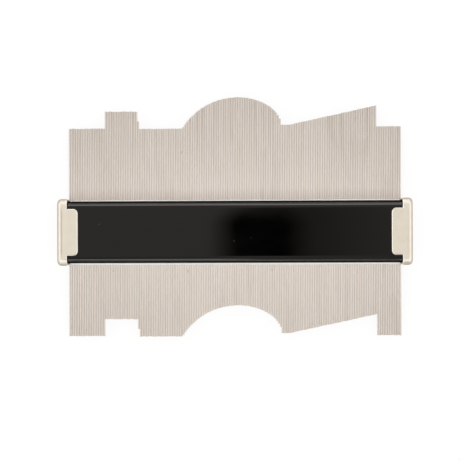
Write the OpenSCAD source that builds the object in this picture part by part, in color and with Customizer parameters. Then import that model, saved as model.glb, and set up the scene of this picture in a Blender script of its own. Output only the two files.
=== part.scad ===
// Contour gauge: a row of steel wire pins that slide between two lined covers, held by two end caps.
// It lies flat on its back: X runs along the row, Y along the pins and Z up through the thickness.

/* [Pins] */
// Length of the row of pins
row_length = 152.4; // [100:0.4:300]
// Number of pins in the row
pin_count = 192; // [192:1:240]
// Groups of neighbouring pins that slide together
pin_groups = 48; // [12:1:48]
// Side gap between neighbouring pins
pin_gap = 0.044; // [0.04:0.002:0.2]
// Length of each pin
pin_length = 95.5; // [80:0.1:140]
// Chamfer on the cut ends of a pin
pin_chamfer = 0.12; // [0.05:0.01:0.2]
// Most that a hand-set pin stands off the profile
pin_unevenness = 0.12; // [0:0.01:0.3]

/* [Profile set in the pins] */
// Pins to the left of the square block
left_pins = 21; // [8:1:24]
// Pins in the square block
block_pins = 19; // [8:1:24]
// Rise of the square block
block_rise = 7.75; // [0:0.05:15]
// Pins that stand alone beside the block
lone_pins = 1; // [0:1:2]
// Rise of the pins that stand alone
lone_rise = 3.2; // [0:0.05:15]
// Pins in the flat between the block and the dome
middle_pins = 25; // [8:1:30]
// Rise of the flat between the block and the dome
middle_rise = -0.25; // [-5:0.05:5]
// Pins in the left side of the dome
dome_left_pins = 32; // [12:1:34]
// Pins in the right side of the dome
dome_right_pins = 25; // [12:1:25]
// Rise of the dome
dome_rise = 14; // [8:0.1:18]
// Half-width, counted in pins, of the oval that the dome's left side follows
dome_left_reach = 37.8; // [34:0.1:60]
// Half-height of the oval that the dome's left side follows
dome_left_fall = 30; // [10:0.1:60]
// Half-width, counted in pins, of the oval that the dome's right side follows
dome_right_reach = 25.7; // [25:0.1:60]
// Half-height of the oval that the dome's right side follows
dome_right_fall = 14; // [4:0.1:30]
// Pins in the short shelf between the dome and the ramp
shelf_pins = 5; // [0:1:10]
// Rise of the short shelf between the dome and the ramp
shelf_rise = 1.25; // [0:0.05:10]
// Pins in the ramp
ramp_pins = 50; // [20:1:54]
// Rise of the ramp's top
ramp_rise = 9.9; // [2:0.05:15]
// Rise of the flat at the row's right end
right_rise = 0.25; // [-5:0.05:5]

/* [Covers] */
// Height of a cover, across the pins
cover_height = 28.4; // [24:0.1:40]
// Depth of a cover, from its face to the free edges of its walls
cover_depth = 3.6; // [3.4:0.1:6]
// Thickness of the cover sheet
cover_sheet = 0.6; // [0.4:0.05:1.2]
// Outer radius of the bends along a cover's long edges
cover_bend = 2.6; // [2:0.1:2.8]
// Width of the hem turned out along the free edges of a cover's walls
cover_hem = 0.5; // [0.2:0.05:1]

/* [Liners and pads] */
// Thickness of a liner sheet
liner_sheet = 0.5; // [0.2:0.05:1]
// Width of liner that shows past each long edge of a cover
liner_overhang = 0.9; // [0.2:0.05:2]
// Distance that a liner stops short of each end of the row
liner_inset = 0.75; // [0.2:0.05:2]
// Clearance between the pins and a liner
pin_clearance = 0.06; // [0.05:0.01:0.2]
// Width of a pressure pad
pad_width = 6; // [3:0.1:7]
// Distance from a pad to the start of the cover's bend
pad_inset = 1.5; // [0.2:0.1:2]

/* [End pieces] */
// Clearance between the last pin and the end spacer
spacer_clearance = 0.3; // [0.2:0.05:0.5]
// Width of an end spacer, along the row
spacer_width = 3.55; // [2:0.05:8]
// Clearance between a spacer's web and the start of the cover's bends
web_clearance = 0.05; // [0.05:0.05:0.5]
// Clearance between a spacer's flange and the side walls of its cap
flange_clearance = 0.05; // [0.05:0.05:0.1]
// Thickness of the cap sheet
cap_sheet = 0.8; // [0.5:0.05:1.5]
// Clearance between a cap's side walls and the covers
cap_side_clearance = 0.3; // [0.1:0.05:0.6]
// Clearance between a cap's end wall and the ends of the covers
cap_end_clearance = 0.2; // [0.1:0.05:1]
// Distance from the last pin to the edge of a cap's wrapped part
cap_setback = 0.55; // [0.4:0.05:1.5]
// How much tighter a cap's inner corners are than the cover's bends
cap_corner_relief = 0.7; // [0.4:0.05:1]
// Radius between a cap's end and its front and back faces
cap_end_radius = 1.8; // [1.4:0.1:2.4]
// Radius of a cap's outer corners, seen from the front
cap_corner_radius = 1.8; // [0.5:0.1:2.4]
// Reach of a cap's tabs past its wrapped part
tab_reach = 5.4; // [3:0.05:10]
// Distance from a tab's long edges to the start of the cover's bends
tab_margin = 0.4; // [0:0.05:3]
// Radius of a tab's corners
tab_corner_radius = 2.1; // [0.5:0.1:4]

/* [Hidden] */
$fn = 48;
unevenness_seed = 7;
cut_extra = 1;

pin_pitch = row_length / pin_count;
pin_d = pin_pitch - pin_gap;
row_half = row_length / 2;

block_end = left_pins + block_pins;
middle_start = block_end + lone_pins;
dome_start = middle_start + middle_pins;
dome_peak = dome_start + dome_left_pins;
dome_end = dome_peak + dome_right_pins;
ramp_start = dome_end + shelf_pins;
ramp_end = ramp_start + ramp_pins;
unevenness = rands(-pin_unevenness, pin_unevenness, pin_count, unevenness_seed);
pin_rises = [for (i = [0 : pin_count - 1]) rise_at(i + 0.5) + unevenness[i]];
body_y = -(max(pin_rises) + min(pin_rises)) / 2;

cover_base = pin_d / 2 + pin_clearance + liner_sheet;
cover_face = cover_base + cover_depth;
cover_inside = cover_face - cover_sheet;
cover_channel = cover_height - 2 * cover_hem;
cover_flat = cover_channel - 2 * cover_bend;
cover_length = row_length + 2 * (spacer_clearance + spacer_width);

liner_length = row_length - 2 * liner_inset;
liner_width = cover_height + 2 * liner_overhang;
pad_y = cover_flat / 2 - pad_inset - pad_width / 2;

cap_half_length = cover_length / 2 + cap_end_clearance + cap_sheet;
cap_edge = row_half + cap_setback;
cap_height = cover_height + 2 * (cap_side_clearance + cap_sheet);
cap_thickness = 2 * (cover_face + cap_sheet);
cap_inner_radius = cover_bend + cover_hem - cap_corner_relief;
tab_height = cover_flat - 2 * tab_margin;
tab_end = cap_edge - tab_reach;
pin_z = cap_thickness / 2;

enamel_black = "#262524";
nickel = "#ded6c6";
steel = "#cdc3ba";
liner_white = "#e6e2dc";
rubber_grey = "#4a4846";
plastic_black = "#1c1c1c";

// Name of a pin group, counted from the left, and the number of pins to the left of it
function pin_node(g) = str("pin_group_", g < 10 ? "0" : "", g);
function pins_before(g) = floor((g - 1) * pin_count / pin_groups);

// Fall of an oval at a run to one side of its top
function oval_fall(run, reach, fall) = fall * (1 - sqrt(max(0, 1 - pow(run / reach, 2))));

function dome_at(s) =
    s < dome_peak
    ? dome_rise - oval_fall(dome_peak - s, dome_left_reach, dome_left_fall)
    : dome_rise - oval_fall(s - dome_peak, dome_right_reach, dome_right_fall);

function ramp_at(s) = shelf_rise + (ramp_rise - shelf_rise) * (s - ramp_start) / ramp_pins;

// Rise of the profile at a place in the row, counted in pins from its left end
function rise_at(s) =
    s < left_pins ? 0
    : s < block_end ? block_rise
    : s < middle_start ? lone_rise
    : s < dome_start ? middle_rise
    : s < dome_end ? dome_at(s)
    : s < ramp_start ? shelf_rise
    : s < ramp_end ? ramp_at(s)
    : right_rise;

// Moves a piece drawn about the middle of the pins to its place in the gauge
module in_body() {
    translate([0, body_y, pin_z]) children();
}

// Extrudes an outline drawn in Y and Z along X
module along_x(x0, x1) {
    translate([x0, 0, 0]) rotate([90, 0, 90]) linear_extrude(x1 - x0) children();
}

// Rectangle with its four corners rounded
module rounded_rectangle(w, h, r) {
    square([w - 2 * r, h], center = true);
    square([w, h - 2 * r], center = true);
    for (x = [-1, 1], y = [-1, 1]) {
        translate([x * (w / 2 - r), y * (h / 2 - r)]) circle(r);
    }
}

// Rectangle from x0 to x1 with the two corners at x1 rounded
module bullnose(x0, x1, h, r) {
    translate([x0, -h / 2]) square([x1 - r - x0, h]);
    translate([x0, r - h / 2]) square([x1 - x0, h - 2 * r]);
    for (y = [-1, 1]) {
        translate([x1 - r, y * (h / 2 - r)]) circle(r);
    }
}

// Section of a cover: the upper half of a rounded tube with hems turned out at the free edges of its walls
module cover_section() {
    intersection() {
        difference() {
            union() {
                rounded_rectangle(cover_channel, 2 * cover_depth, cover_bend);
                square([cover_height, 2 * cover_sheet], center = true);
            }
            rounded_rectangle(
                cover_channel - 2 * cover_sheet,
                2 * (cover_depth - cover_sheet),
                cover_bend - cover_sheet
            );
        }
        translate([-cover_height / 2, 0]) square([cover_height, cover_depth]);
    }
}

module cover() {
    translate([0, 0, cover_base]) along_x(-cover_length / 2, cover_length / 2) cover_section();
}

module front_cover() {
    color(enamel_black) in_body() cover();
}

module back_cover() {
    color(enamel_black) in_body() mirror([0, 0, 1]) cover();
}

module liner() {
    translate([-liner_length / 2, -liner_width / 2, pin_d / 2 + pin_clearance]) {
        cube([liner_length, liner_width, liner_sheet]);
    }
}

module front_liner() {
    color(liner_white) in_body() liner();
}

module back_liner() {
    color(liner_white) in_body() mirror([0, 0, 1]) liner();
}

// Rubber strip between a cover and its liner, on the upper side of the gauge
module pad() {
    translate([-liner_length / 2, pad_y - pad_width / 2, cover_base]) {
        cube([liner_length, pad_width, cover_inside - cover_base]);
    }
}

module front_upper_pad() {
    color(rubber_grey) in_body() pad();
}

module front_lower_pad() {
    color(rubber_grey) in_body() mirror([0, 1, 0]) pad();
}

module back_upper_pad() {
    color(rubber_grey) in_body() mirror([0, 0, 1]) pad();
}

module back_lower_pad() {
    color(rubber_grey) in_body() mirror([0, 1, 0]) mirror([0, 0, 1]) pad();
}

// Block between the covers at the right end: a web inside the channels, a flange between their walls
module spacer() {
    x0 = row_half + spacer_clearance;
    web = cover_flat - 2 * web_clearance;
    flange = cap_height - 2 * (cap_sheet + flange_clearance);
    translate([x0, -web / 2, -cover_inside]) cube([spacer_width, web, 2 * cover_inside]);
    translate([x0, -flange / 2, -cover_base]) cube([spacer_width, flange, 2 * cover_base]);
}

module left_spacer() {
    color(plastic_black) in_body() mirror([1, 0, 0]) spacer();
}

module right_spacer() {
    color(plastic_black) in_body() spacer();
}

// Outer form of the right cap's wrapped part, rounded towards its end
module cap_form() {
    intersection() {
        along_x(cap_edge, cap_half_length) {
            rounded_rectangle(cap_height, cap_thickness, cap_inner_radius + cap_sheet);
        }
        rotate([90, 0, 0]) linear_extrude(cap_height + cut_extra, center = true) {
            bullnose(cap_edge - cut_extra, cap_half_length, cap_thickness, cap_end_radius);
        }
        linear_extrude(cap_thickness + cut_extra, center = true) {
            bullnose(cap_edge - cut_extra, cap_half_length, cap_height, cap_corner_radius);
        }
    }
}

// Tab of the right cap that lies on a cover's face
module cap_tab() {
    translate([0, 0, cover_face]) linear_extrude(cap_sheet) mirror([1, 0, 0]) {
        bullnose(-cap_edge - cap_sheet, -tab_end, tab_height, tab_corner_radius);
    }
}

module end_cap() {
    difference() {
        cap_form();
        along_x(cap_edge - cut_extra, cap_half_length - cap_sheet) {
            rounded_rectangle(cap_height - 2 * cap_sheet, 2 * cover_face, cap_inner_radius);
        }
    }
    cap_tab();
    mirror([0, 0, 1]) cap_tab();
}

module left_end_cap() {
    color(nickel) in_body() mirror([1, 0, 0]) end_cap();
}

module right_end_cap() {
    color(nickel) in_body() end_cap();
}

// Wire pin along Y with chamfered ends
module pin() {
    r = pin_d / 2;
    tip = r - pin_chamfer;
    half = pin_length / 2;
    rotate([90, 0, 0]) rotate_extrude() polygon([
        [0, -half],
        [tip, -half],
        [r, pin_chamfer - half],
        [r, half - pin_chamfer],
        [tip, half],
        [0, half]
    ]);
}

// Pins of one group, each at its own rise
module pin_group(g) {
    color(steel) in_body() for (i = [pins_before(g) : pins_before(g + 1) - 1]) {
        translate([(i + 0.5) * pin_pitch - row_half, pin_rises[i], 0]) pin();
    }
}

front_cover();
back_cover();
front_liner();
back_liner();
front_upper_pad();
front_lower_pad();
back_upper_pad();
back_lower_pad();
left_spacer();
right_spacer();
left_end_cap();
right_end_cap();
for (g = [1 : pin_groups]) {
    pin_group(g);
}
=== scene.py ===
"""Contour gauge lying on a white table: the pieces, materials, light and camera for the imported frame."""
import math

import bmesh
import bpy
from mathutils import Euler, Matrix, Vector


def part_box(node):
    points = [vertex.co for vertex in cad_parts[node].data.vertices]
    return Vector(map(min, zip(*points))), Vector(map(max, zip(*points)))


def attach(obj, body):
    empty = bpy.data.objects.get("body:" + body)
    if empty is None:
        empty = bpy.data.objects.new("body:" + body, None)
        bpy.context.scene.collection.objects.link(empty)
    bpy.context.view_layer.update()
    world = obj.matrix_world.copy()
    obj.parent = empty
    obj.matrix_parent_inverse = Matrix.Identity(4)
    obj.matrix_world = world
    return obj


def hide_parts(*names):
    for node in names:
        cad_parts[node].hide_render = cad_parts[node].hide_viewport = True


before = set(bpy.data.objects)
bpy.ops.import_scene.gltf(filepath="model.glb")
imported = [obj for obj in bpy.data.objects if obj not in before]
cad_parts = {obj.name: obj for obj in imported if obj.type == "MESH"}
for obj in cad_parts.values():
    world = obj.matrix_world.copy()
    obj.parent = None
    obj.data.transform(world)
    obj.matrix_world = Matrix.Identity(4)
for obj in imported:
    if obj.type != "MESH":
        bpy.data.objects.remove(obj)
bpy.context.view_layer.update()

MM = 0.001
BODY = "gauge_body"

# Sizes of the sheet-metal pieces that their boxes don't give
COVER_BEND = 2.2 * MM
COVER_HEM = 0.9 * MM
COVER_SHEET = 0.6 * MM
COVER_EDGE_ROUND = 0.1 * MM
COVER_END_TRIM = 0.35 * MM
FLAT_SUPPORT = 0.12 * MM
CAP_SHEET = 0.8 * MM
CAP_SIDE_RADIUS = 3.2 * MM
CAP_END_RADIUS = 1.8 * MM
CAP_RIM_ROUND = 0.5 * MM
CAP_SETBACK = 0.15 * MM
TAB_CORNER = 2.1 * MM
TAB_HEIGHT = 21.4 * MM
TAB_FILLET = 0.25 * MM

# The liner strips
LINER_EDGE_ROUND = 0.16 * MM
LINER_WAVE = 0.08 * MM
LINER_TRIM = 0.42 * MM

# Fineness of the meshes
COVER_STEPS = 24
BEND_STEPS = 16
CORNER_STEPS = 8
RIM_STEPS = 5
LINER_STEPS = 160
LINER_CORNER_STEPS = 3
SHARP_ANGLE = math.radians(40)
BEVEL_ANGLE = math.radians(50)

# The pin row
PIN_NAMES = sorted(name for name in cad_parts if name.startswith("pin_group_"))
PINS_PER_GROUP = 4
PIN_GAP = 0.044 * MM
row_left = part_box(PIN_NAMES[0])[0].x - PIN_GAP / 2
row_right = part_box(PIN_NAMES[-1])[1].x + PIN_GAP / 2
PIN_PITCH = (row_right - row_left) / (len(PIN_NAMES) * PINS_PER_GROUP)

# Places that the painted shade on the pins and on the caps follows
COVER_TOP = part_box("front_cover")[1].y
COVER_MIDDLE = (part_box("front_cover")[0].y + COVER_TOP) / 2
COVER_SHADE_START = 1.0 * MM
COVER_SHADE_REACH = 6.0 * MM
CAP_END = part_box("right_end_cap")[1].x

# Colours of the wire, and what tints it
WIRE_SHADES = ((0.1, (0.638, 0.583, 0.532)), (0.5, (0.714, 0.66, 0.608)), (0.9, (0.796, 0.738, 0.685)))
WIRE_DULL = (0.84, 0.81, 0.76, 1)
# Painted shade between the pins
WIRE_GAP_SHADE = (0.85, 0.835, 0.825, 1)
# Darkening towards the pins' ends and the row's ends
WIRE_ENDS_DARKER = (0.82, 0.81, 0.80, 1)
WIRE_STREAK = (0.70, 0.67, 0.65, 1)
WIRE_RUST = (0.62, 0.56, 0.50, 1)
# Painted shade along the cover's upper edge
WIRE_COVER_SHADE = (0.80, 0.77, 0.76, 1)

# Colours of the covers
ENAMEL_SHADES = ((0.3, (0.0006, 0.00055, 0.0005)), (0.75, (0.0012, 0.0011, 0.0010)))
ENAMEL_DUST = (0.06, 0.058, 0.055, 1)
HEM_DARK, HEM_PALE = (0.003, 0.003, 0.0027), (0.006, 0.0058, 0.0054)

# Colours of the caps
NICKEL_SHADES = ((0.30, (0.715, 0.665, 0.578)), (0.52, (0.742, 0.695, 0.607)), (0.74, (0.765, 0.722, 0.64)))
NICKEL_EDGE_TINT = (0.62, 0.54, 0.50, 1)
NICKEL_DRAWN = (0.94, 0.93, 0.91, 1)
# Painted highlight on the caps' long shoulders
NICKEL_SHOULDER_HIGHLIGHT = (0.96, 0.935, 0.885, 1)
# Painted shade on the caps' steep sides, browner on the lower side
NICKEL_STEEP_SHADE = (0.79, 0.77, 0.755, 1)
NICKEL_LOW_SIDE_SHADE = (0.84, 0.77, 0.70, 1)
# Painted shade at the foot of the caps' end bend
NICKEL_CREASE_SHADE = (0.74, 0.72, 0.71, 1)
# Paler colours of the caps' rims, a painted highlight
RIM_HIGHLIGHT_SHADES = ((0.3, (0.84, 0.795, 0.71)), (0.7, (0.92, 0.885, 0.81)))

# Colours of the plastic and rubber
LINER_SHADES = ((0.3, (0.775, 0.785, 0.775)), (0.7, (0.835, 0.845, 0.835)))
LINER_GREYED = (0.91, 0.91, 0.90, 1)
SPACER_DARK, SPACER_PALE = (0.008, 0.008, 0.008), (0.016, 0.0155, 0.015)
PAD_DARK, PAD_PALE = (0.055, 0.053, 0.05), (0.085, 0.082, 0.078)

# The table top
FLOOR_HALF = 4.0
FLOOR_CELLS = 8
FLOOR_DROP = 0.05 * MM
FLOOR_GLOW = 0.90
FLOOR_SHADES = ((0.3, (0.95, 0.95, 0.95)), (0.7, (0.98, 0.98, 0.98)))
WHITE = (1, 1, 1, 1)
BLACK = (0, 0, 0, 1)

# Levels of the studio light: the surround by height, the strip overhead and the light boxes
SURROUND = (
    (0.0, (0.50, 0.50, 0.50)), (0.25, (0.64, 0.635, 0.63)), (0.45, (1.0, 0.99, 0.98)),
    (0.62, (1.72, 1.70, 1.67)), (0.85, (1.72, 1.70, 1.67)), (1.0, (1.5, 1.48, 1.45)),
)
STRIP = ((0.0, (0.33, 0.32, 0.31)), (1.0, (0.485, 0.44, 0.405)))
FRONT_BOX = (1.9, 1.87, 1.82, 1)
BACK_BOX = (2.7, 2.62, 2.54, 1)

# The lens that the cover mirrors: its place, size and fading, as components of the direction overhead
LENS_ASIDE = -0.0032
LENS_ALONG = -0.005
LENS_RADIUS = 0.0222
LENS_FADE = 0.0455
LENS_SHOULDER = 0.0115
LENS_SHOULDER_SLOPE = 2.1
LENS_HALF_HEIGHT = 0.0195
LENS_HEIGHT_FADE = 0.043

# The camera, fitted to the photograph
CAMERA_SENSOR = 36.0
CAMERA_LENS = 90.736
CAMERA_CLIP = (0.01, 50.0)
CAMERA_PLACE = (13.64 * MM, -7.40 * MM, 537.1 * MM)
CAMERA_TURN = (0.1411, 1.6874, -0.2050)


# Meshes

def add_piece(name, bm, materials, slot, *nodes):
    """Makes a smooth-shaded piece of the gauge's body that stands for CAD nodes."""
    mesh = bpy.data.meshes.new(name)
    bm.to_mesh(mesh)
    bm.free()
    for polygon in mesh.polygons:
        polygon.use_smooth = True
    mesh.set_sharp_from_angle(angle=SHARP_ANGLE)
    for material in materials:
        mesh.materials.append(material)
    piece = bpy.data.objects.new(name, mesh)
    bpy.context.scene.collection.objects.link(piece)
    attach(piece, BODY)
    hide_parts(*nodes)
    return piece


def add_bevel(piece, width, segments):
    bevel = piece.modifiers.new("Rounded edges", "BEVEL")
    bevel.width = width
    bevel.segments = segments
    bevel.limit_method = "ANGLE"
    bevel.angle_limit = BEVEL_ANGLE
    bevel.harden_normals = True


def arc(centre, radius, start, end, steps):
    """Points of an arc in a plane, by angles in degrees."""
    points = []
    for i in range(steps + 1):
        a = math.radians(start + (end - start) * i / steps)
        points.append((centre[0] + radius * math.cos(a), centre[1] + radius * math.sin(a)))
    return points


def loft(bm, sections):
    """Joins closed loops of points into a tube with flat ends."""
    rings = [[bm.verts.new(p) for p in section] for section in sections]
    count = len(rings[0])
    for a, b in zip(rings, rings[1:]):
        for i in range(count):
            j = (i + 1) % count
            bm.faces.new((a[i], a[j], b[j], b[i]))
    bm.faces.new(reversed(rings[0]))
    bm.faces.new(rings[-1])
    bmesh.ops.recalc_face_normals(bm, faces=bm.faces)


def cover_section(low, high, face_up):
    """Outline of the folded channel in Y and Z: hem, wall, bend and face, then back along the inside."""
    middle = (low.y + high.y) / 2
    half = (high.y - low.y) / 2
    depth = high.z - low.z
    wall = half - COVER_HEM
    centre = (wall - COVER_BEND, depth - COVER_BEND)
    outer = arc(centre, COVER_BEND, 0, 90, BEND_STEPS)
    inner = arc(centre, COVER_BEND - COVER_SHEET, 90, 0, BEND_STEPS)
    face = [(centre[0] - FLAT_SUPPORT, depth)]
    right = [(half, 0), (half, COVER_SHEET), (wall, COVER_SHEET)] + outer + face
    inside = inner + [(wall - COVER_SHEET, 0)]
    left = [(-y, z) for y, z in reversed(right)]
    outline = right + left + [(-y, z) for y, z in reversed(inside)] + inside
    return [(middle + y, low.z + z if face_up else high.z - z) for y, z in outline]


def make_cover(name, node, face_up, materials):
    """Folded channel over one side of the pins, with a dull hem as its second material."""
    low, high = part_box(node)
    outline = cover_section(low, high, face_up)
    x0, x1 = low.x + COVER_END_TRIM, high.x - COVER_END_TRIM
    places = [x0 + (x1 - x0) * i / COVER_STEPS for i in range(COVER_STEPS + 1)]
    bm = bmesh.new()
    loft(bm, [[(x, y, z) for y, z in outline] for x in places])
    middle = (low.y + high.y) / 2
    hem = (high.y - low.y) / 2 - COVER_HEM + COVER_EDGE_ROUND
    for face in bm.faces:
        face.material_index = 1 if abs(face.calc_center_median().y - middle) > hem else 0
    piece = add_piece(name, bm, materials, "black_enamel", node)
    add_bevel(piece, COVER_EDGE_ROUND, 2)


def cap_side(half_height, half_thickness, start):
    """Points and outward normals of a cap's section in Y and Z, over its upper side from front to back."""
    flat = half_height - CAP_SIDE_RADIUS
    rise = half_thickness - CAP_SIDE_RADIUS
    side = [((start, half_thickness), (0, 1))]
    for sign, first in ((1, 90), (-1, 0)):
        for i in range(CORNER_STEPS + 1):
            a = math.radians(first - 90 * i / CORNER_STEPS)
            normal = (math.cos(a), math.sin(a))
            point = (flat + CAP_SIDE_RADIUS * normal[0], sign * rise + CAP_SIDE_RADIUS * normal[1])
            side.append((point, normal))
    side.append(((start, -half_thickness), (0, -1)))
    return side


def tab_edge(half, reach):
    """Rim of a tab from its foot to its tip and back: reach and place across, with the way into the metal."""
    foot, tip = (TAB_FILLET, half + TAB_FILLET), (reach - TAB_CORNER, half - TAB_CORNER)
    points = []
    for i in range(1, CORNER_STEPS + 1):
        a = math.radians(90 * i / CORNER_STEPS)
        way = (-math.cos(a), -math.sin(a))
        points.append(((foot[0] + TAB_FILLET * way[0], foot[1] + TAB_FILLET * way[1]), way))
    for i in range(CORNER_STEPS + 1):
        a = math.radians(90 - 90 * i / CORNER_STEPS)
        way = (-math.cos(a), -math.sin(a))
        points.append(((tip[0] - TAB_CORNER * way[0], tip[1] - TAB_CORNER * way[1]), way))
    return points + [((u, -y), (bu, -by)) for (u, y), (bu, by) in reversed(points)]


def cap_shell(bm, row, lip, stations):
    """Closes one face of the cap's sheet from its rim to its end, with the tabs as flat faces."""
    tab = len(row) // 2 - lip
    first = stations[0]
    for start, ring in ((0, 0), (lip + tab, lip)):
        for j in range(lip - 1):
            bm.faces.new((row[start + j], row[start + j + 1], first[ring + j + 1], first[ring + j]))
    around = row + row[:1]
    bm.faces.new(around[lip - 1:lip + tab + 1] + [first[lip], first[lip - 1]])
    bm.faces.new(around[2 * lip + tab - 1:] + [first[0], first[-1]])
    for a, b in zip(stations, stations[1:]):
        for i in range(2 * lip):
            j = (i + 1) % (2 * lip)
            bm.faces.new((a[i], a[j], b[j], b[i]))
    bm.faces.new(stations[-1])


def make_cap(name, node, side, materials):
    """Drawn cap: a cup round the gauge's end with a tab on the front and on the back, and rounded rims."""
    low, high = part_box(node)
    middle = (low + high) / 2
    half_height, half_thickness = (high.y - low.y) / 2, (high.z - low.z) / 2
    end = max(abs(low.x), abs(high.x))
    edge = row_right + CAP_SETBACK
    reach = edge - min(abs(low.x), abs(high.x))
    upper = cap_side(half_height, half_thickness, TAB_HEIGHT / 2 + TAB_FILLET)
    ring = upper + [((-y, -z), (-ny, -nz)) for (y, z), (ny, nz) in upper]
    lip = len(upper)
    bm = bmesh.new()

    def vertex(x, y, z):
        return bm.verts.new((side * x, middle.y + y, middle.z + z))

    def tab_rim(tab, facing):
        return [
            (Vector((edge - u, y, facing * half_thickness)), Vector((0, 0, facing)), Vector((-bu, by, 0)))
            for (u, y), (bu, by) in tab
        ]

    cup = [(Vector((edge, *point)), Vector((0, *normal)), Vector((1, 0, 0))) for point, normal in ring]
    tab = tab_edge(TAB_HEIGHT / 2, reach)
    rim = cup[:lip] + tab_rim(tab, -1) + cup[lip:] + tab_rim(reversed(tab), 1)
    rows = []
    for k in range(RIM_STEPS + 1):
        a = math.radians(90 * k / RIM_STEPS)
        into, down = CAP_RIM_ROUND * (1 - math.sin(a)), CAP_RIM_ROUND * (1 - math.cos(a))
        rows.append([vertex(*(point + way * into - normal * down)) for point, normal, way in rim])
    rows.append([vertex(*(point - normal * CAP_SHEET)) for point, normal, _ in rim])
    for k, (a, b) in enumerate(zip(rows, rows[1:])):
        for i in range(len(rim)):
            j = (i + 1) % len(rim)
            face = bm.faces.new((a[i], a[j], b[j], b[i]))
            face.material_index = 1 if k < RIM_STEPS else 0

    def stations(sheet):
        radius = CAP_END_RADIUS - sheet
        made = []
        for i in range(CORNER_STEPS + 1):
            a = math.radians(90 * i / CORNER_STEPS)
            x, inset = end - sheet - radius * (1 - math.sin(a)), sheet + radius * (1 - math.cos(a))
            made.append([vertex(x, y - inset * ny, z - inset * nz) for (y, z), (ny, nz) in ring])
        return made

    cap_shell(bm, rows[0], lip, stations(0))
    cap_shell(bm, rows[-1], lip, stations(CAP_SHEET))
    bmesh.ops.recalc_face_normals(bm, faces=bm.faces)
    piece = add_piece(name, bm, materials, "cap_nickel", node)
    flats = piece.modifiers.new("Flat faces", "WEIGHTED_NORMAL")
    flats.keep_sharp = True


def wander(slow, fast):
    """How far a liner's edge strays from its line, as a slow wave and a fast one."""
    return LINER_WAVE * (1 + 0.6 * math.sin(slow) + 0.4 * math.sin(fast))


def make_liner(name, node, phase, material):
    """Thin strip with rounded edges that wander a little along the gauge."""
    low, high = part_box(node)
    r = LINER_EDGE_ROUND
    sections = []
    for i in range(LINER_STEPS + 1):
        x = low.x + (high.x - low.x) * i / LINER_STEPS
        t = i / LINER_STEPS * 2 * math.pi
        upper = high.y - LINER_TRIM - wander(3.1 * t + phase, 11.3 * t + 2 * phase)
        lower = low.y + wander(2.3 * t + 2 * phase, 9.7 * t + phase)
        corners = (
            (upper - r, high.z - r), (lower + r, high.z - r), (lower + r, low.z + r), (upper - r, low.z + r),
        )
        outline = []
        for quarter, corner in enumerate(corners):
            outline += arc(corner, r, 90 * quarter, 90 * (quarter + 1), LINER_CORNER_STEPS)
        sections.append([(x, y, z) for y, z in outline])
    bm = bmesh.new()
    loft(bm, sections)
    add_piece(name, bm, [material], "liner_plastic", node)


# Shader nodes

def add_node(tree, kind, inputs=None, **settings):
    """Adds a node; an input is a value or another node's output."""
    node = tree.nodes.new(kind)
    for key, value in settings.items():
        setattr(node, key, value)
    for key, value in (inputs or {}).items():
        if isinstance(value, bpy.types.NodeSocket):
            tree.links.new(value, node.inputs[key])
        else:
            node.inputs[key].default_value = value
    return node


def new_material(name, **constants):
    """A material with its shader's constant sockets set, and the object's own coordinates."""
    material = bpy.data.materials.new(name)
    material.use_nodes = True
    tree = material.node_tree
    shader = tree.nodes["Principled BSDF"]
    for key, value in constants.items():
        shader.inputs[key.replace("_", " ")].default_value = value
    place = add_node(tree, "ShaderNodeTexCoord").outputs["Object"]
    return material, tree, shader, place


def maths(tree, operation, a, b=0.0):
    return add_node(tree, "ShaderNodeMath", {0: a, 1: b}, operation=operation).outputs[0]


def total(tree, first, *others):
    for other in others:
        first = maths(tree, "ADD", first, other)
    return first


def product(tree, first, *others):
    for other in others:
        first = maths(tree, "MULTIPLY", first, other)
    return first


def highest(tree, first, *others):
    for other in others:
        first = maths(tree, "MAXIMUM", first, other)
    return first


def split(tree, vector):
    return add_node(tree, "ShaderNodeSeparateXYZ", {0: vector}).outputs


def spread(tree, value, low, high, to_low, to_high):
    """Maps a value from one range to another, and holds it at the ends."""
    made = add_node(tree, "ShaderNodeMapRange", {
        "Value": value, "From Min": low, "From Max": high, "To Min": to_low, "To Max": to_high,
    })
    return made.outputs["Result"]


def noise(tree, place, stretch, detail=2.0, roughness=0.5):
    """Noise with its own number of cycles a metre along X, Y and Z."""
    scaled = add_node(tree, "ShaderNodeVectorMath", {0: place, 1: stretch}, operation="MULTIPLY")
    made = add_node(tree, "ShaderNodeTexNoise", {
        "Vector": scaled.outputs[0], "Scale": 1.0, "Detail": detail, "Roughness": roughness,
    })
    return made.outputs["Fac"]


def specks(tree, place, scale, size, rarity):
    """Scattered round specks, in only some of the pattern's cells."""
    cells = add_node(tree, "ShaderNodeTexVoronoi", {"Vector": place, "Scale": scale}, feature="F1")
    near = spread(tree, cells.outputs["Distance"], 0.02, size, 1.0, 0.0)
    chance = add_node(tree, "ShaderNodeSeparateColor", {0: cells.outputs["Color"]})
    return product(tree, near, maths(tree, "GREATER_THAN", chance.outputs[0], rarity))


def ramp(tree, value, *stops):
    made = add_node(tree, "ShaderNodeValToRGB", {"Fac": value})
    points = made.color_ramp.elements
    while len(points) < len(stops):
        points.new(0.5)
    for point, (position, colour) in zip(points, stops):
        point.position = position
        point.color = (*colour, 1.0)
    return made.outputs["Color"]


def tint(tree, factor, colour, other, mode="MULTIPLY"):
    made = add_node(tree, "ShaderNodeMix", data_type="RGBA", blend_type=mode)
    for socket, value in ((made.inputs[0], factor), (made.inputs[6], colour), (made.inputs[7], other)):
        if isinstance(value, bpy.types.NodeSocket):
            tree.links.new(value, socket)
        else:
            socket.default_value = value
    return made.outputs[2]


def dress(tree, shader, colour, rough, height, distance, strength):
    """Gives the shader its colour, its roughness and a bump from a height."""
    made = add_node(tree, "ShaderNodeBump", {"Height": height, "Distance": distance, "Strength": strength})
    tree.links.new(colour, shader.inputs["Base Color"])
    tree.links.new(rough, shader.inputs["Roughness"])
    tree.links.new(made.outputs["Normal"], shader.inputs["Normal"])


# Materials

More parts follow.
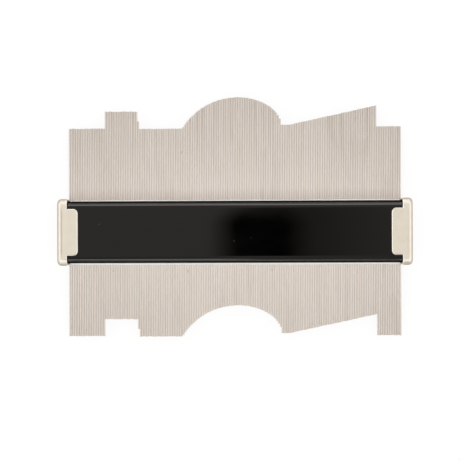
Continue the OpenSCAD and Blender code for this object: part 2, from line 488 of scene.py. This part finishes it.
def wire_steel():
    """Drawn wire: each pin its own tone, fine lines along it, painted shade between the pins, rust specks and
    painted shade along the cover's edge.
    """
    material, tree, shader, place = new_material("pin_steel_wire", Metallic=1.0)
    x, y, _ = split(tree, place)
    count = maths(tree, "DIVIDE", maths(tree, "SUBTRACT", x, row_left), PIN_PITCH)
    number = maths(tree, "FLOOR", count)
    across = maths(tree, "SUBTRACT", count, number)
    off_centre = maths(tree, "ABSOLUTE", maths(tree, "SUBTRACT", across, 0.5))
    own = add_node(tree, "ShaderNodeTexWhiteNoise", {"W": number}, noise_dimensions="1D").outputs["Value"]
    lines = noise(tree, place, (6000, 8, 6000), 3.0, 0.6)
    patches = noise(tree, place, (260, 40, 260), 4.0, 0.55)

    shade = total(tree, product(tree, own, 0.15), spread(tree, lines, 0.0, 1.0, 0.24, 0.64))
    colour = ramp(tree, shade, *WIRE_SHADES)
    colour = tint(tree, spread(tree, patches, 0.52, 0.75, 0.0, 0.25), colour, WIRE_DULL)

    # Painted shade between the pins, over their sides and in the gaps, weaker on the lower half
    gap = spread(tree, off_centre, 0.2, 0.44, 0.0, 1.0)
    gap = product(tree, gap, spread(tree, y, -20 * MM, 10 * MM, 0.75, 1.0))
    colour = tint(tree, gap, colour, WIRE_GAP_SHADE)

    # Darker towards the pins' ends, more at the upper ends, and towards the row's ends; handling darkens some
    # pins in streaks
    ends = total(
        tree, spread(tree, y, 5 * MM, 55 * MM, 0.0, 0.7), spread(tree, y, -55 * MM, -10 * MM, 0.5, 0.0),
        spread(tree, maths(tree, "ABSOLUTE", x), 30 * MM, 76 * MM, 0.0, 0.25),
    )
    colour = tint(tree, ends, colour, WIRE_ENDS_DARKER)
    streak = spread(tree, own, 0.6, 1.0, 0.0, 1.0)
    streak = product(tree, streak, spread(tree, y, 12 * MM, 50 * MM, 0.0, 0.6))
    colour = tint(tree, streak, colour, WIRE_STREAK)
    colour = tint(tree, specks(tree, place, 95.0, 0.045, 0.62), colour, WIRE_RUST)

    # Painted shade on the pins along the cover's upper edge, where the cover shades them
    cover_shade = product(
        tree, spread(tree, y, COVER_TOP + COVER_SHADE_START, COVER_TOP + COVER_SHADE_REACH, 0.75, 0.0),
        spread(tree, y, COVER_TOP - COVER_SHADE_REACH, COVER_TOP, 0.0, 1.0),
    )
    colour = tint(tree, cover_shade, colour, WIRE_COVER_SHADE)
    rough = spread(tree, lines, 0.3, 0.7, 0.22, 0.34)
    rough = total(tree, rough, spread(tree, patches, 0.5, 0.75, 0.0, 0.12))
    dress(tree, shader, colour, rough, lines, 0.01 * MM, 0.35)
    return material


def black_enamel():
    """Glossy stoved enamel on sheet: a faint ripple, fine orange peel, dust and light handling marks."""
    material, tree, shader, place = new_material("cover_enamel", Specular_IOR_Level=0.65)
    ripple = noise(tree, place, (38, 55, 38), 1.0)
    peel = noise(tree, place, (900, 900, 900), 2.0)
    smear = noise(tree, place, (45, 130, 130), 5.0, 0.6)
    dust = specks(tree, place, 230.0, 0.05, 0.72)
    colour = tint(tree, dust, ramp(tree, smear, *ENAMEL_SHADES), ENAMEL_DUST, "MIX")
    rough = total(tree, spread(tree, smear, 0.35, 0.75, 0.03, 0.06), product(tree, dust, 0.5))
    height = total(tree, ripple, product(tree, peel, 0.012))
    dress(tree, shader, colour, rough, height, 0.02 * MM, 0.5)
    return material


def end_crease(tree, place):
    """Painted shade at the foot of a cap's end bend, stronger on the left cap and only between the shoulders.
    """
    x, y, _ = split(tree, place)
    out = maths(tree, "ABSOLUTE", x)
    off = maths(tree, "ABSOLUTE", maths(tree, "SUBTRACT", y, COVER_MIDDLE))
    foot = CAP_END - CAP_END_RADIUS
    return product(
        tree, spread(tree, out, foot - 0.9 * MM, foot - 0.55 * MM, 0.0, 1.0),
        spread(tree, out, foot - 0.4 * MM, foot - 0.05 * MM, 1.0, 0.0),
        spread(tree, off, 9.0 * MM, 12.0 * MM, 1.0, 0.0),
        spread(tree, x, -10 * MM, 10 * MM, 1.0, 0.25),
    )


def satin_nickel():
    """Satin plated caps: fine grain, faint drawing lines, a painted highlight on the long shoulders, and
    painted shade on the steep sides and at the end bend's foot.
    """
    material, tree, shader, place = new_material(
        "cap_nickel_satin", Metallic=1.0, Specular_Tint=NICKEL_EDGE_TINT,
    )
    grain = noise(tree, place, (3500, 3500, 3500), 2.0)
    drawn = noise(tree, place, (2600, 120, 2600), 3.0, 0.6)
    cloud = noise(tree, place, (210, 210, 210), 4.0, 0.6)
    colour = ramp(tree, cloud, *NICKEL_SHADES)
    colour = tint(tree, spread(tree, drawn, 0.35, 0.65, 0.0, 0.4), colour, NICKEL_DRAWN)

    # Painted highlight on the long shoulders, weaker on the upper ones
    endwise, upwards, level = split(tree, add_node(tree, "ShaderNodeNewGeometry").outputs["Normal"])
    level = maths(tree, "ABSOLUTE", level)
    shoulder = product(
        tree, spread(tree, level, 0.96, 0.995, 1.0, 0.0), spread(tree, level, 0.80, 0.90, 0.0, 1.0),
        spread(tree, maths(tree, "ABSOLUTE", endwise), 0.1, 0.35, 1.0, 0.0),
        spread(tree, upwards, 0.0, 0.2, 1.0, 0.4),
    )
    colour = tint(tree, shoulder, colour, NICKEL_SHOULDER_HIGHLIGHT, "MIX")

    # Painted shade on the steep sides, browner on the lower side
    steep = spread(tree, level, 0.45, 0.96, 1.0, 0.0)
    colour = tint(tree, product(tree, steep, spread(tree, cloud, 0.3, 0.7, 1.0, 0.85)), colour, NICKEL_STEEP_SHADE)
    low = product(tree, spread(tree, upwards, -0.85, -0.6, 1.0, 0.0), steep)
    colour = tint(tree, low, colour, NICKEL_LOW_SIDE_SHADE)
    colour = tint(tree, end_crease(tree, place), colour, NICKEL_CREASE_SHADE)

    rough = total(tree, spread(tree, cloud, 0.3, 0.7, 0.50, 0.46), spread(tree, grain, 0.3, 0.7, 0.0, 0.05))
    rough = maths(tree, "SUBTRACT", rough, product(tree, steep, 0.14))
    height = total(tree, product(tree, grain, 0.4), product(tree, drawn, 0.6))
    dress(tree, shader, colour, rough, height, 0.012 * MM, 0.35)
    return material


def rim_highlight_nickel():
    """The caps' rims, in paler colours than the caps: a painted highlight."""
    material, tree, shader, place = new_material("cap_nickel_rim_highlight", Metallic=1.0)
    wear = noise(tree, place, (900, 900, 900), 3.0, 0.6)
    rough = spread(tree, wear, 0.3, 0.7, 0.30, 0.20)
    dress(tree, shader, ramp(tree, wear, *RIM_HIGHLIGHT_SHADES), rough, wear, 0.01 * MM, 0.3)
    return material


def white_liner():
    """Extruded white strip, faintly mottled and greyed where the pins rub it."""
    material, tree, shader, place = new_material("liner_white_plastic", Specular_IOR_Level=0.35)
    rubbed = noise(tree, place, (700, 90, 700), 3.0)
    mottle = noise(tree, place, (1500, 1500, 1500), 3.0)
    colour = ramp(tree, mottle, *LINER_SHADES)
    colour = tint(tree, spread(tree, rubbed, 0.5, 0.75, 0.0, 0.5), colour, LINER_GREYED)
    dress(tree, shader, colour, spread(tree, mottle, 0.3, 0.7, 0.45, 0.62), mottle, 0.02 * MM, 0.4)
    return material


def moulded(name, dark, pale, grain_size, low, high, gloss=0.35):
    """Matt moulded plastic, rubber or paint with a fine pitted skin, its roughness from low to high."""
    material, tree, shader, place = new_material(name, Specular_IOR_Level=gloss)
    pits = noise(tree, place, (1 / grain_size,) * 3, 3.0, 0.6)
    bloom = noise(tree, place, (160, 160, 160), 4.0)
    colour = ramp(tree, bloom, (0.3, dark), (0.75, pale))
    dress(tree, shader, colour, spread(tree, pits, 0.3, 0.7, low, high), pits, 0.03 * MM, 0.5)
    return material


def paint(material, *nodes):
    for name in nodes:
        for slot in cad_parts[name].material_slots:
            slot.material = material


# The gauge

enamel = [black_enamel(), moulded("cover_hem_dull", HEM_DARK, HEM_PALE, 0.2 * MM, 0.5, 0.65, 0.14)]
nickel = [satin_nickel(), rim_highlight_nickel()]
liner_plastic = white_liner()
make_cover("front_cover_sheet", "front_cover", True, enamel)
make_cover("back_cover_sheet", "back_cover", False, enamel)
make_cap("left_cap_drawn", "left_end_cap", -1, nickel)
make_cap("right_cap_drawn", "right_end_cap", 1, nickel)
make_liner("front_liner_strip", "front_liner", 0.7, liner_plastic)
make_liner("back_liner_strip", "back_liner", 2.1, liner_plastic)
paint(wire_steel(), *PIN_NAMES)
paint(moulded("spacer_black_plastic", SPACER_DARK, SPACER_PALE, 0.3 * MM, 0.42, 0.6),
      "left_spacer", "right_spacer")
paint(moulded("pad_grey_rubber", PAD_DARK, PAD_PALE, 0.4 * MM, 0.6, 0.8),
      "front_upper_pad", "front_lower_pad", "back_upper_pad", "back_lower_pad")


# Floor, light and camera

def make_floor():
    """White table top that shows white to the camera and in reflections, and keeps a soft shadow."""
    bm = bmesh.new()
    bmesh.ops.create_grid(bm, x_segments=FLOOR_CELLS, y_segments=FLOOR_CELLS, size=FLOOR_HALF)
    mesh = bpy.data.meshes.new("floor")
    bm.to_mesh(mesh)
    bm.free()
    floor = bpy.data.objects.new("floor", mesh)
    floor.location.z = -FLOOR_DROP
    bpy.context.scene.collection.objects.link(floor)
    material, tree, shader, place = new_material("floor_white", Specular_IOR_Level=0.0)
    tooth = noise(tree, place, (700, 700, 700), 3.0)
    tree.links.new(ramp(tree, tooth, *FLOOR_SHADES), shader.inputs["Base Color"])
    tree.links.new(spread(tree, tooth, 0.3, 0.7, 0.7, 0.9), shader.inputs["Roughness"])
    glow = add_node(tree, "ShaderNodeEmission", {"Color": WHITE, "Strength": 1.0})
    path = add_node(tree, "ShaderNodeLightPath").outputs
    seen = highest(tree, path["Is Camera Ray"], path["Is Glossy Ray"], path["Is Transmission Ray"])
    mixed = add_node(tree, "ShaderNodeMixShader", {
        0: product(tree, seen, FLOOR_GLOW), 1: shader.outputs[0], 2: glow.outputs[0],
    })
    tree.links.new(mixed.outputs[0], tree.nodes["Material Output"].inputs["Surface"])
    mesh.materials.append(material)


def studio_light(tree, x, y, z):
    """Surround that brightens overhead, with a dimmer strip from front to back and boxes at its two ends."""
    light = ramp(tree, z, *SURROUND)
    high = product(tree, spread(tree, y, -0.7, -0.4, 1.0, 0.0), spread(tree, z, 0.3, 0.5, 0.0, 1.0))
    light = tint(tree, high, light, FRONT_BOX, "MIX")
    narrow = spread(tree, maths(tree, "ABSOLUTE", x), 0.20, 0.30, 1.0, 0.0)
    strip = ramp(tree, spread(tree, y, -0.5, 0.1, 0.0, 1.0), *STRIP)
    light = tint(tree, narrow, light, strip, "MIX")
    behind = product(tree, spread(tree, y, 0.74, 0.92, 0.0, 1.0), narrow)
    light = tint(tree, behind, light, BACK_BOX, "MIX")
    front = product(tree, spread(tree, y, -0.95, -0.90, 1.0, 0.0), spread(tree, x, -0.04, 0.0, 1.0, 0.0))
    return tint(tree, front, light, FRONT_BOX, "MIX")


def lens_spot(tree, x, y, z):
    """How dark the sky is at the mirrored lens: black in the middle, clearing more slowly to the right."""
    along = maths(tree, "SUBTRACT", y, LENS_ALONG)
    aside = maths(tree, "SUBTRACT", x, LENS_ASIDE)
    over = highest(tree, maths(tree, "SUBTRACT", along, LENS_SHOULDER), 0.0)
    over = product(tree, over, LENS_SHOULDER_SLOPE)
    away = maths(tree, "SQRT", total(tree, product(tree, aside, aside), product(tree, over, over)))
    rim = product(
        tree, spread(tree, away, LENS_RADIUS, LENS_FADE, 0.0, 1.0), spread(tree, x, -0.01, 0.01, 1.0, 0.40),
    )
    sideways = total(tree, rim, spread(tree, x, 0.045, 0.15, 0.0, 0.60))
    lengthways = spread(tree, maths(tree, "ABSOLUTE", along), LENS_HALF_HEIGHT, LENS_HEIGHT_FADE, 0.0, 1.0)
    clear = maths(tree, "MINIMUM", highest(tree, sideways, lengthways), 1.0)
    return product(tree, maths(tree, "SUBTRACT", 1.0, clear), maths(tree, "GREATER_THAN", z, 0.0))


def make_world():
    """Studio light with the dark lens straight above; white to the camera and low down in reflections."""
    world = bpy.data.worlds.new("studio")
    world.use_nodes = True
    bpy.context.scene.world = world
    tree = world.node_tree
    x, y, z = split(tree, add_node(tree, "ShaderNodeTexCoord").outputs["Generated"])
    light = tint(tree, lens_spot(tree, x, y, z), studio_light(tree, x, y, z), BLACK, "MIX")
    background = tree.nodes["Background"]
    tree.links.new(light, background.inputs["Color"])
    white = add_node(tree, "ShaderNodeBackground", {"Color": WHITE, "Strength": 1.0})
    path = add_node(tree, "ShaderNodeLightPath").outputs
    mirrored = product(
        tree, highest(tree, path["Is Glossy Ray"], path["Is Transmission Ray"]),
        spread(tree, z, 0.1, 0.2, 1.0, 0.0), spread(tree, y, -0.9, -0.7, 0.0, 1.0),
    )
    seen = highest(tree, path["Is Camera Ray"], mirrored)
    mixed = add_node(tree, "ShaderNodeMixShader", {0: seen, 1: background.outputs[0], 2: white.outputs[0]})
    tree.links.new(mixed.outputs[0], tree.nodes["World Output"].inputs["Surface"])


def make_camera():
    data = bpy.data.cameras.new("camera")
    data.sensor_width = CAMERA_SENSOR
    data.lens = CAMERA_LENS
    data.clip_start, data.clip_end = CAMERA_CLIP
    camera = bpy.data.objects.new("camera", data)
    camera.location = CAMERA_PLACE
    camera.rotation_euler = Euler([math.radians(a) for a in CAMERA_TURN], "XYZ")
    bpy.context.scene.collection.objects.link(camera)
    bpy.context.scene.camera = camera


make_floor()
make_world()
make_camera()
bpy.context.scene.view_settings.view_transform = "Standard"

bpy.context.view_layer.update()
